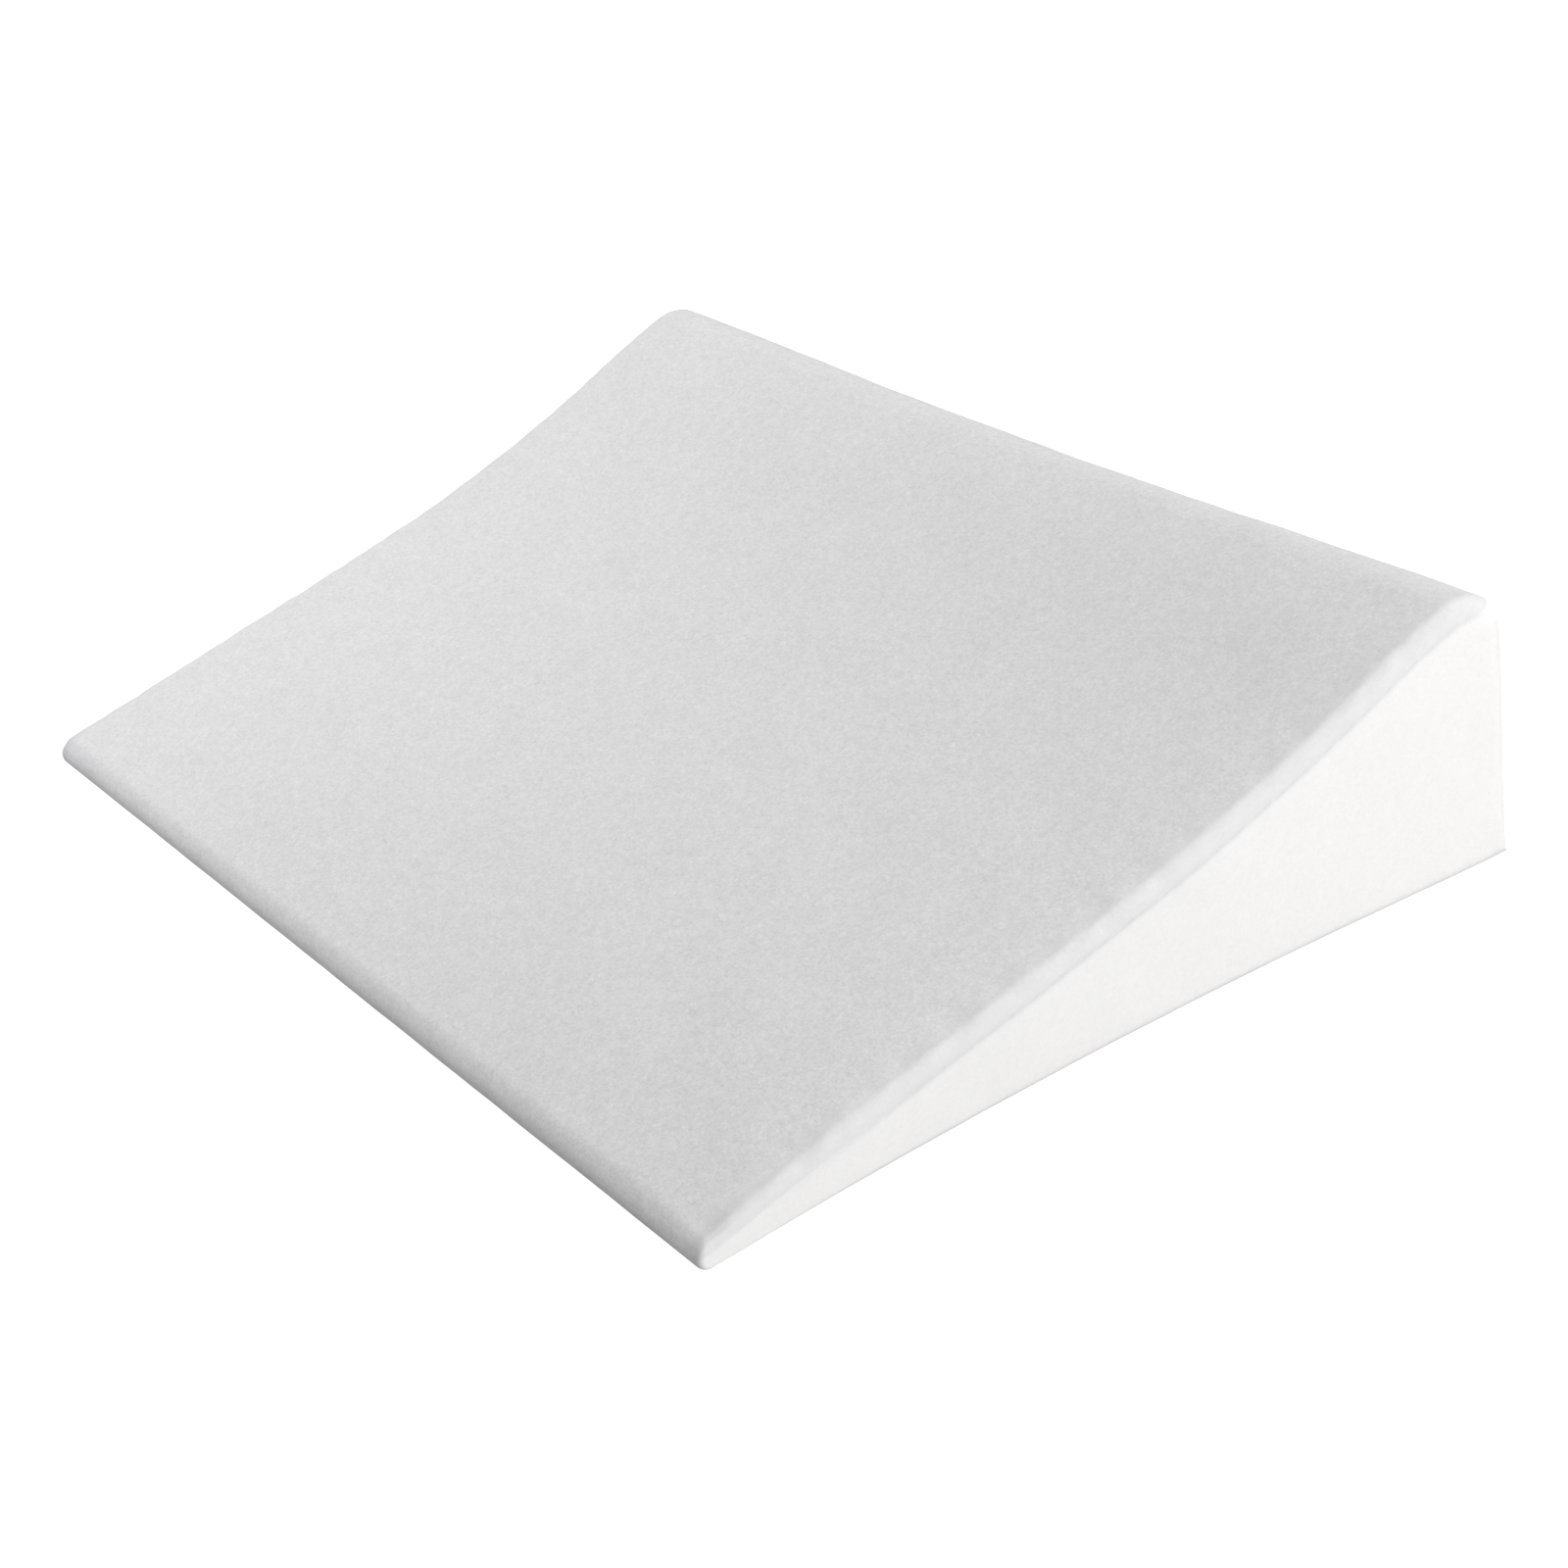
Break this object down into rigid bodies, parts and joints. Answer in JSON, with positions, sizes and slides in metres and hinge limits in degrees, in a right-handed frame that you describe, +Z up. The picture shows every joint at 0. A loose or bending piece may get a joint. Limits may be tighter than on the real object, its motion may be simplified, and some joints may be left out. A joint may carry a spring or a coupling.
{
  "type": "wedge pillow",
  "caption": "Wedge pillow: a low filled wedge that rises from a thin rounded lip to a thick rounded crest, in a white soft-pile cover with set-in side panels.",
  "frame": {"origin": "centre of the footprint, on the flat underside", "axes": "+Z up from the underside, +Y from the thin lip towards the thick crest, +X along the width, to the right as seen from the thin lip"},
  "size_m": [0.5997, 0.4159, 0.1271],
  "materials": {
    "white_fleece": "white brushed terry cloth, soft short pile, matt"
  },
  "bodies": {
    "root": {"wedge_pillow": "white_fleece"}
  },
  "joints": []
}
